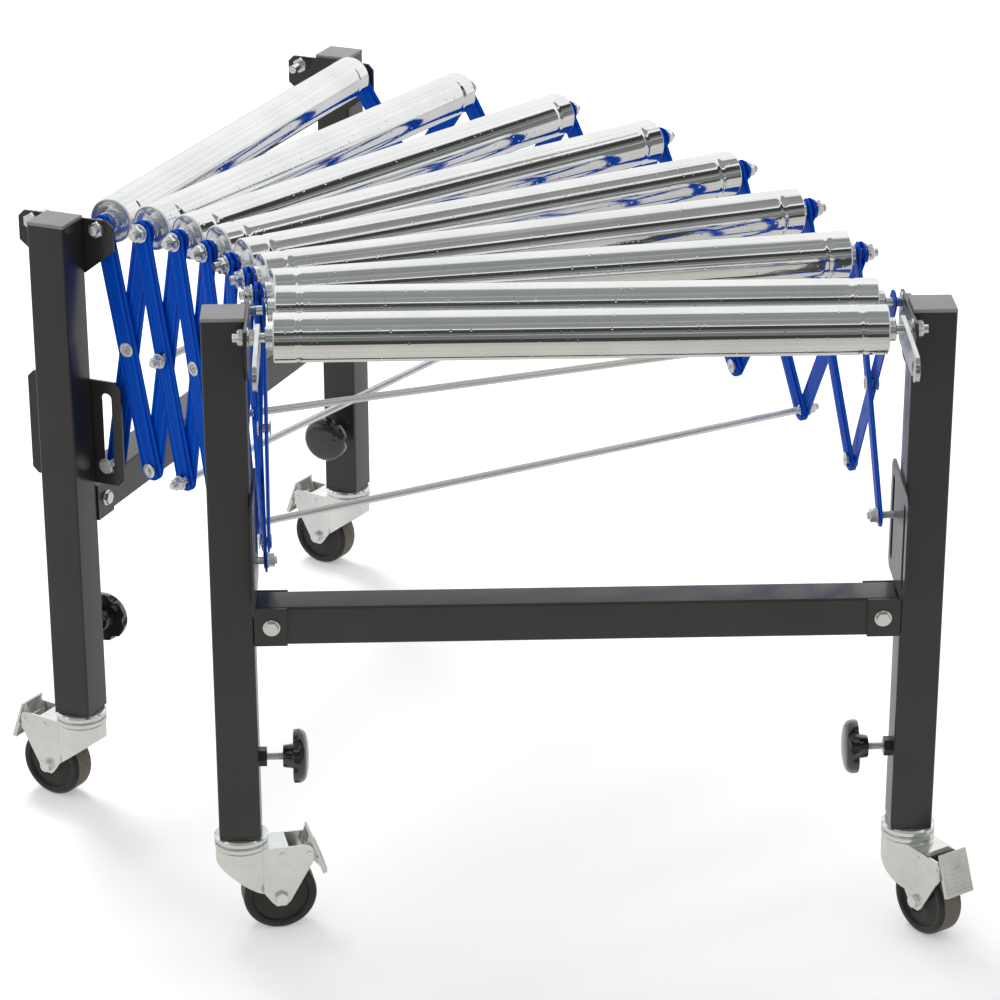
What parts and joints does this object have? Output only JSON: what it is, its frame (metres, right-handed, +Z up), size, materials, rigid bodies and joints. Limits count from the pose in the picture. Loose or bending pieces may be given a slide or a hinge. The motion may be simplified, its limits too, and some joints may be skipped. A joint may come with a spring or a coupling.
{
  "type": "flexible roller conveyor",
  "caption": "Curved flexible gravity conveyor: plated rollers fanned between blue scissor lattices on two black telescopic stands with braked casters.",
  "frame": {"origin": "on the floor below the middle of the bounding box in the curved rest pose", "axes": "+Z up; +X along the front stand's rollers to the right as seen from the front; +Y up the conveyor away from the front stand"},
  "size_m": [1.0488, 1.1612, 0.711],
  "materials": {
    "roller_zinc": "bright zinc plated",
    "lattice_blue": "gloss blue paint",
    "zinc_hardware": "zinc plated",
    "caster_zinc": "bright zinc plated pressing",
    "wheel_black": "hard black plastic, worn tread",
    "knob_black": "glossy black moulding",
    "stand_black": "semi-matt black powder coat, grey plastic caps"
  },
  "bodies": {
    "front_stand": {"front_frame": "stand_black", "front_hardware": "zinc_hardware"},
    "rear_stand": {"rear_frame": "stand_black", "rear_hardware": "zinc_hardware"},
    "axle_7": {"axle_7": "zinc_hardware"},
    "axle_6": {"axle_6": "zinc_hardware"},
    "axle_5": {"axle_5": "zinc_hardware"},
    "axle_4": {"axle_4": "zinc_hardware"},
    "axle_3": {"axle_3": "zinc_hardware"},
    "axle_2": {"axle_2": "zinc_hardware"},
    "scissor_bars_8a": {"scissor_bars_8a": "lattice_blue"},
    "scissor_bars_8b": {"scissor_bars_8b": "lattice_blue"},
    "scissor_bars_7a": {"scissor_bars_7a": "lattice_blue"},
    "scissor_bars_7b": {"scissor_bars_7b": "lattice_blue"},
    "scissor_bars_6a": {"scissor_bars_6a": "lattice_blue"},
    "scissor_bars_6b": {"scissor_bars_6b": "lattice_blue"},
    "scissor_bars_5a": {"scissor_bars_5a": "lattice_blue"},
    "scissor_bars_5b": {"scissor_bars_5b": "lattice_blue"},
    "scissor_bars_4a": {"scissor_bars_4a": "lattice_blue"},
    "scissor_bars_4b": {"scissor_bars_4b": "lattice_blue"},
    "scissor_bars_3a": {"scissor_bars_3a": "lattice_blue"},
    "scissor_bars_3b": {"scissor_bars_3b": "lattice_blue"},
    "scissor_bars_2a": {"scissor_bars_2a": "lattice_blue"},
    "scissor_bars_2b": {"scissor_bars_2b": "lattice_blue"},
    "scissor_bars_1a": {"scissor_bars_1a": "lattice_blue"},
    "scissor_bars_1b": {"scissor_bars_1b": "lattice_blue"},
    "tie_rod_middle_2": {"tie_rod_middle_2": "zinc_hardware"},
    "tie_rod_middle_6": {"tie_rod_middle_6": "zinc_hardware"},
    "tie_rod_foot_2": {"tie_rod_foot_2": "zinc_hardware"},
    "tie_rod_foot_5": {"tie_rod_foot_5": "zinc_hardware"},
    "roller_8": {"roller_8": "roller_zinc"},
    "roller_7": {"roller_7": "roller_zinc"},
    "roller_6": {"roller_6": "roller_zinc"},
    "roller_5": {"roller_5": "roller_zinc"},
    "roller_4": {"roller_4": "roller_zinc"},
    "roller_3": {"roller_3": "roller_zinc"},
    "roller_2": {"roller_2": "roller_zinc"},
    "roller_1": {"roller_1": "roller_zinc"},
    "roller_9": {"roller_9": "roller_zinc"},
    "coupling_hooks": {"coupling_hooks": "zinc_hardware"},
    "leg_front_left": {"leg_front_left": "stand_black"},
    "clamp_knob_front_left": {"clamp_knob_front_left": "knob_black"},
    "caster_fork_front_left": {"caster_fork_front_left": "caster_zinc"},
    "wheel_front_left": {"wheel_front_left": "wheel_black"},
    "brake_pedal_front_left": {"brake_pedal_front_left": "caster_zinc"},
    "leg_front_right": {"leg_front_right": "stand_black"},
    "clamp_knob_front_right": {"clamp_knob_front_right": "knob_black"},
    "caster_fork_front_right": {"caster_fork_front_right": "caster_zinc"},
    "wheel_front_right": {"wheel_front_right": "wheel_black"},
    "brake_pedal_front_right": {"brake_pedal_front_right": "caster_zinc"},
    "leg_rear_left": {"leg_rear_left": "stand_black"},
    "clamp_knob_rear_left": {"clamp_knob_rear_left": "knob_black"},
    "caster_fork_rear_left": {"caster_fork_rear_left": "caster_zinc"},
    "wheel_rear_left": {"wheel_rear_left": "wheel_black"},
    "brake_pedal_rear_left": {"brake_pedal_rear_left": "caster_zinc"},
    "leg_rear_right": {"leg_rear_right": "stand_black"},
    "clamp_knob_rear_right": {"clamp_knob_rear_right": "knob_black"},
    "caster_fork_rear_right": {"caster_fork_rear_right": "caster_zinc"},
    "wheel_rear_right": {"wheel_rear_right": "wheel_black"},
    "brake_pedal_rear_right": {"brake_pedal_rear_right": "caster_zinc"}
  },
  "joints": [
    {"name": "flex_1", "type": "hinge", "parent": "front_stand", "child": "axle_7", "pos_m": [0.11753, -0.33903, 0.686], "axis": [0, 0, -1], "range_deg": [0, 9.3]},
    {"name": "flex_2", "type": "hinge", "parent": "axle_7", "child": "axle_6", "pos_m": [0.10083, -0.23704, 0.686], "axis": [0, 0, -1], "range_deg": [0, 9.32]},
    {"name": "flex_3", "type": "hinge", "parent": "axle_6", "child": "axle_5", "pos_m": [0.06787, -0.13909, 0.686], "axis": [0, 0, -1], "range_deg": [0, 9.32]},
    {"name": "flex_4", "type": "hinge", "parent": "axle_5", "child": "axle_4", "pos_m": [0.01951, -0.04776, 0.686], "axis": [0, 0, -1], "range_deg": [0, 9.32]},
    {"name": "flex_5", "type": "hinge", "parent": "axle_4", "child": "axle_3", "pos_m": [-0.04298, 0.03456, 0.686], "axis": [0, 0, -1], "range_deg": [0, 9.32]},
    {"name": "flex_6", "type": "hinge", "parent": "axle_3", "child": "axle_2", "pos_m": [-0.11794, 0.1057, 0.686], "axis": [0, 0, -1], "range_deg": [0, 9.32]},
    {"name": "flex_7", "type": "hinge", "parent": "axle_2", "child": "rear_stand", "pos_m": [-0.20342, 0.1638, 0.686], "axis": [0, 0, -1], "range_deg": [0, 9.32]},
    {"name": "scissor_8a", "type": "hinge", "parent": "front_stand", "child": "scissor_bars_8a", "pos_m": [0.10693, -0.39071, 0.686], "axis": [-1, 0, 0], "range_deg": [0, 11.48]},
    {"name": "scissor_8b", "type": "hinge", "parent": "front_stand", "child": "scissor_bars_8b", "pos_m": [0.10693, -0.39071, 0.686], "axis": [1, 0, 0], "range_deg": [0, 11.48]},
    {"name": "scissor_7a", "type": "hinge", "parent": "axle_7", "child": "scissor_bars_7a", "pos_m": [0.09872, -0.28975, 0.686], "axis": [-0.9869, -0.1616, 0], "range_deg": [0, 11.48]},
    {"name": "scissor_7b", "type": "hinge", "parent": "axle_7", "child": "scissor_bars_7b", "pos_m": [0.09872, -0.28975, 0.686], "axis": [0.9869, 0.1616, 0], "range_deg": [0, 11.48]},
    {"name": "scissor_6a", "type": "hinge", "parent": "axle_6", "child": "scissor_bars_6a", "pos_m": [0.0743, -0.19145, 0.686], "axis": [-0.9478, -0.319, 0], "range_deg": [0, 11.48]},
    {"name": "scissor_6b", "type": "hinge", "parent": "axle_6", "child": "scissor_bars_6b", "pos_m": [0.0743, -0.19145, 0.686], "axis": [0.9478, 0.319, 0], "range_deg": [0, 11.48]},
    {"name": "scissor_5a", "type": "hinge", "parent": "axle_5", "child": "scissor_bars_5a", "pos_m": [0.03432, -0.09839, 0.686], "axis": [-0.8838, -0.4679, 0], "range_deg": [0, 11.48]},
    {"name": "scissor_5b", "type": "hinge", "parent": "axle_5", "child": "scissor_bars_5b", "pos_m": [0.03432, -0.09839, 0.686], "axis": [0.8838, 0.4679, 0], "range_deg": [0, 11.48]},
    {"name": "scissor_4a", "type": "hinge", "parent": "axle_4", "child": "scissor_bars_4a", "pos_m": [-0.02018, -0.01301, 0.686], "axis": [-0.7965, -0.6046, 0], "range_deg": [0, 11.48]},
    {"name": "scissor_4b", "type": "hinge", "parent": "axle_4", "child": "scissor_bars_4b", "pos_m": [-0.02018, -0.01301, 0.686], "axis": [0.7965, 0.6046, 0], "range_deg": [0, 11.48]},
    {"name": "scissor_3a", "type": "hinge", "parent": "axle_3", "child": "scissor_bars_3a", "pos_m": [-0.08776, 0.06244, 0.686], "axis": [-0.6884, -0.7254, 0], "range_deg": [0, 11.48]},
    {"name": "scissor_3b", "type": "hinge", "parent": "axle_3", "child": "scissor_bars_3b", "pos_m": [-0.08776, 0.06244, 0.686], "axis": [0.6884, 0.7254, 0], "range_deg": [0, 11.48]},
    {"name": "scissor_2a", "type": "hinge", "parent": "axle_2", "child": "scissor_bars_2a", "pos_m": [-0.16664, 0.12598, 0.686], "axis": [-0.5621, -0.8271, 0], "range_deg": [0, 11.48]},
    {"name": "scissor_2b", "type": "hinge", "parent": "axle_2", "child": "scissor_bars_2b", "pos_m": [-0.16664, 0.12598, 0.686], "axis": [0.5621, 0.8271, 0], "range_deg": [0, 11.48]},
    {"name": "scissor_1a", "type": "hinge", "parent": "rear_stand", "child": "scissor_bars_1a", "pos_m": [-0.25476, 0.17594, 0.686], "axis": [-0.421, -0.907, 0], "range_deg": [0, 11.48]},
    {"name": "scissor_1b", "type": "hinge", "parent": "rear_stand", "child": "scissor_bars_1b", "pos_m": [-0.25476, 0.17594, 0.686], "axis": [0.421, 0.907, 0], "range_deg": [0, 11.48]},
    {"name": "tie_rod_swing_middle_2", "type": "hinge", "parent": "axle_6", "child": "tie_rod_middle_2", "pos_m": [0.08702, -0.24047, 0.55849], "axis": [-0.1178, 0.3497, 0.9294], "range_deg": [0, 5.02]},
    {"name": "tie_rod_swing_middle_6", "type": "hinge", "parent": "axle_2", "child": "tie_rod_middle_6", "pos_m": [-0.12687, 0.09462, 0.55849], "axis": [-0.3053, 0.2073, 0.9294], "range_deg": [0, 5.02]},
    {"name": "tie_rod_swing_foot_2", "type": "hinge", "parent": "axle_6", "child": "tie_rod_foot_2", "pos_m": [0.00513, -0.21473, 0.42626], "axis": [-0.319, 0.9477, 0.001], "range_deg": [0, 3.69]},
    {"name": "tie_rod_swing_foot_5", "type": "hinge", "parent": "axle_3", "child": "tie_rod_foot_5", "pos_m": [-0.138, 0.0095, 0.42626], "axis": [-0.7254, 0.6883, 0.001], "range_deg": [0, 3.69]},
    {"name": "roller_spin_8", "type": "hinge", "parent": "front_stand", "child": "roller_8", "pos_m": [0.10693, -0.39071, 0.686], "axis": [1, 0, 0], "continuous": true},
    {"name": "roller_spin_7", "type": "hinge", "parent": "axle_7", "child": "roller_7", "pos_m": [0.09872, -0.28975, 0.686], "axis": [0.9869, 0.1616, 0], "continuous": true},
    {"name": "roller_spin_6", "type": "hinge", "parent": "axle_6", "child": "roller_6", "pos_m": [0.0743, -0.19145, 0.686], "axis": [0.9478, 0.319, 0], "continuous": true},
    {"name": "roller_spin_5", "type": "hinge", "parent": "axle_5", "child": "roller_5", "pos_m": [0.03432, -0.09839, 0.686], "axis": [0.8838, 0.4679, 0], "continuous": true},
    {"name": "roller_spin_4", "type": "hinge", "parent": "axle_4", "child": "roller_4", "pos_m": [-0.02018, -0.01301, 0.686], "axis": [0.7965, 0.6046, 0], "continuous": true},
    {"name": "roller_spin_3", "type": "hinge", "parent": "axle_3", "child": "roller_3", "pos_m": [-0.08776, 0.06244, 0.686], "axis": [0.6884, 0.7254, 0], "continuous": true},
    {"name": "roller_spin_2", "type": "hinge", "parent": "axle_2", "child": "roller_2", "pos_m": [-0.16664, 0.12598, 0.686], "axis": [0.5621, 0.8271, 0], "continuous": true},
    {"name": "roller_spin_1", "type": "hinge", "parent": "rear_stand", "child": "roller_1", "pos_m": [-0.25476, 0.17594, 0.686], "axis": [0.421, 0.907, 0], "continuous": true},
    {"name": "roller_spin_9", "type": "hinge", "parent": "front_stand", "child": "roller_9", "pos_m": [0.10693, -0.47071, 0.686], "axis": [1, 0, 0], "continuous": true},
    {"name": "coupling_hook_swing", "type": "hinge", "parent": "front_stand", "child": "coupling_hooks", "pos_m": [0.10693, -0.47071, 0.686], "axis": [-1, 0, 0], "range_deg": [-87, 40]},
    {"name": "leg_slide_front_left", "type": "slide", "parent": "front_stand", "child": "leg_front_left", "axis": [0, 0, -1], "range_m": [0, 0.38]},
    {"name": "clamp_turn_front_left", "type": "hinge", "parent": "front_stand", "child": "clamp_knob_front_left", "pos_m": [-0.24807, -0.43071, 0.203], "axis": [1, 0, 0], "range_deg": [-720, 0]},
    {"name": "caster_swivel_front_left", "type": "hinge", "parent": "leg_front_left", "child": "caster_fork_front_left", "pos_m": [-0.24807, -0.43071, 0.1142], "axis": [0, 0, 1], "continuous": true},
    {"name": "wheel_roll_front_left", "type": "hinge", "parent": "caster_fork_front_left", "child": "wheel_front_left", "pos_m": [-0.21022, -0.42363, 0.0395], "axis": [-0.184, 0.9829, 0], "continuous": true},
    {"name": "brake_press_front_left", "type": "hinge", "parent": "caster_fork_front_left", "child": "brake_pedal_front_left", "pos_m": [-0.17975, -0.41792, 0.0895], "axis": [-0.184, 0.9829, 0], "range_deg": [0, 14]},
    {"name": "leg_slide_front_right", "type": "slide", "parent": "front_stand", "child": "leg_front_right", "axis": [0, 0, -1], "range_m": [0, 0.38]},
    {"name": "clamp_turn_front_right", "type": "hinge", "parent": "front_stand", "child": "clamp_knob_front_right", "pos_m": [0.46193, -0.43071, 0.203], "axis": [-1, 0, 0], "range_deg": [-720, 0]},
    {"name": "caster_swivel_front_right", "type": "hinge", "parent": "leg_front_right", "child": "caster_fork_front_right", "pos_m": [0.46193, -0.43071, 0.1142], "axis": [0, 0, 1], "continuous": true},
    {"name": "wheel_roll_front_right", "type": "hinge", "parent": "caster_fork_front_right", "child": "wheel_front_right", "pos_m": [0.48233, -0.46336, 0.0395], "axis": [0.848, 0.5299, 0], "continuous": true},
    {"name": "brake_press_front_right", "type": "hinge", "parent": "caster_fork_front_right", "child": "brake_pedal_front_right", "pos_m": [0.49876, -0.48965, 0.0895], "axis": [0.848, 0.5299, 0], "range_deg": [0, 14]},
    {"name": "leg_slide_rear_left", "type": "slide", "parent": "rear_stand", "child": "leg_rear_left", "axis": [0, 0, -1], "range_m": [0, 0.38]},
    {"name": "clamp_turn_rear_left", "type": "hinge", "parent": "rear_stand", "child": "clamp_knob_rear_left", "pos_m": [-0.44051, -0.12922, 0.203], "axis": [0.421, 0.907, 0], "range_deg": [-720, 0]},
    {"name": "caster_swivel_rear_left", "type": "hinge", "parent": "leg_rear_left", "child": "caster_fork_rear_left", "pos_m": [-0.44051, -0.12922, 0.1142], "axis": [0, 0, 1], "continuous": true},
    {"name": "wheel_roll_rear_left", "type": "hinge", "parent": "caster_fork_rear_left", "child": "wheel_rear_left", "pos_m": [-0.47242, -0.10769, 0.0395], "axis": [-0.5592, -0.829, 0], "continuous": true},
    {"name": "brake_press_rear_left", "type": "hinge", "parent": "caster_fork_rear_left", "child": "brake_pedal_rear_left", "pos_m": [-0.49812, -0.09036, 0.0895], "axis": [-0.5592, -0.829, 0], "range_deg": [0, 14]},
    {"name": "leg_slide_rear_right", "type": "slide", "parent": "rear_stand", "child": "leg_rear_right", "axis": [0, 0, -1], "range_m": [0, 0.38]},
    {"name": "clamp_turn_rear_right", "type": "hinge", "parent": "rear_stand", "child": "clamp_knob_rear_right", "pos_m": [-0.14157, 0.51478, 0.203], "axis": [-0.421, -0.907, 0], "range_deg": [-720, 0]},
    {"name": "caster_swivel_rear_right", "type": "hinge", "parent": "leg_rear_right", "child": "caster_fork_rear_right", "pos_m": [-0.14157, 0.51478, 0.1142], "axis": [0, 0, 1], "continuous": true},
    {"name": "wheel_roll_rear_right", "type": "hinge", "parent": "caster_fork_rear_right", "child": "wheel_rear_right", "pos_m": [-0.17311, 0.53686, 0.0395], "axis": [-0.5736, -0.8192, 0], "continuous": true},
    {"name": "brake_press_rear_right", "type": "hinge", "parent": "caster_fork_rear_right", "child": "brake_pedal_rear_right", "pos_m": [-0.1985, 0.55464, 0.0895], "axis": [-0.5736, -0.8192, 0], "range_deg": [0, 14]}
  ],
  "couplings": [
    {"joint": "flex_2", "follows": "flex_1", "ratio": 1},
    {"joint": "flex_3", "follows": "flex_1", "ratio": 1},
    {"joint": "flex_4", "follows": "flex_1", "ratio": 1},
    {"joint": "flex_5", "follows": "flex_1", "ratio": 1},
    {"joint": "flex_6", "follows": "flex_1", "ratio": 1},
    {"joint": "flex_7", "follows": "flex_1", "ratio": 1},
    {"joint": "scissor_8a", "follows": "flex_1", "ratio": 1.2319},
    {"joint": "scissor_8b", "follows": "flex_1", "ratio": 1.2319},
    {"joint": "scissor_7a", "follows": "flex_1", "ratio": 1.2319},
    {"joint": "scissor_7b", "follows": "flex_1", "ratio": 1.2319},
    {"joint": "scissor_6a", "follows": "flex_1", "ratio": 1.2319},
    {"joint": "scissor_6b", "follows": "flex_1", "ratio": 1.2319},
    {"joint": "scissor_5a", "follows": "flex_1", "ratio": 1.2319},
    {"joint": "scissor_5b", "follows": "flex_1", "ratio": 1.2319},
    {"joint": "scissor_4a", "follows": "flex_1", "ratio": 1.2319},
    {"joint": "scissor_4b", "follows": "flex_1", "ratio": 1.2319},
    {"joint": "scissor_3a", "follows": "flex_1", "ratio": 1.2319},
    {"joint": "scissor_3b", "follows": "flex_1", "ratio": 1.2319},
    {"joint": "scissor_2a", "follows": "flex_1", "ratio": 1.2319},
    {"joint": "scissor_2b", "follows": "flex_1", "ratio": 1.2319},
    {"joint": "scissor_1a", "follows": "flex_1", "ratio": 1.2319},
    {"joint": "scissor_1b", "follows": "flex_1", "ratio": 1.2319},
    {"joint": "tie_rod_swing_middle_2", "follows": "flex_1", "ratio": 0.53799},
    {"joint": "tie_rod_swing_middle_6", "follows": "flex_1", "ratio": 0.53799},
    {"joint": "tie_rod_swing_foot_2", "follows": "flex_1", "ratio": 0.39487},
    {"joint": "tie_rod_swing_foot_5", "follows": "flex_1", "ratio": 0.39487}
  ]
}
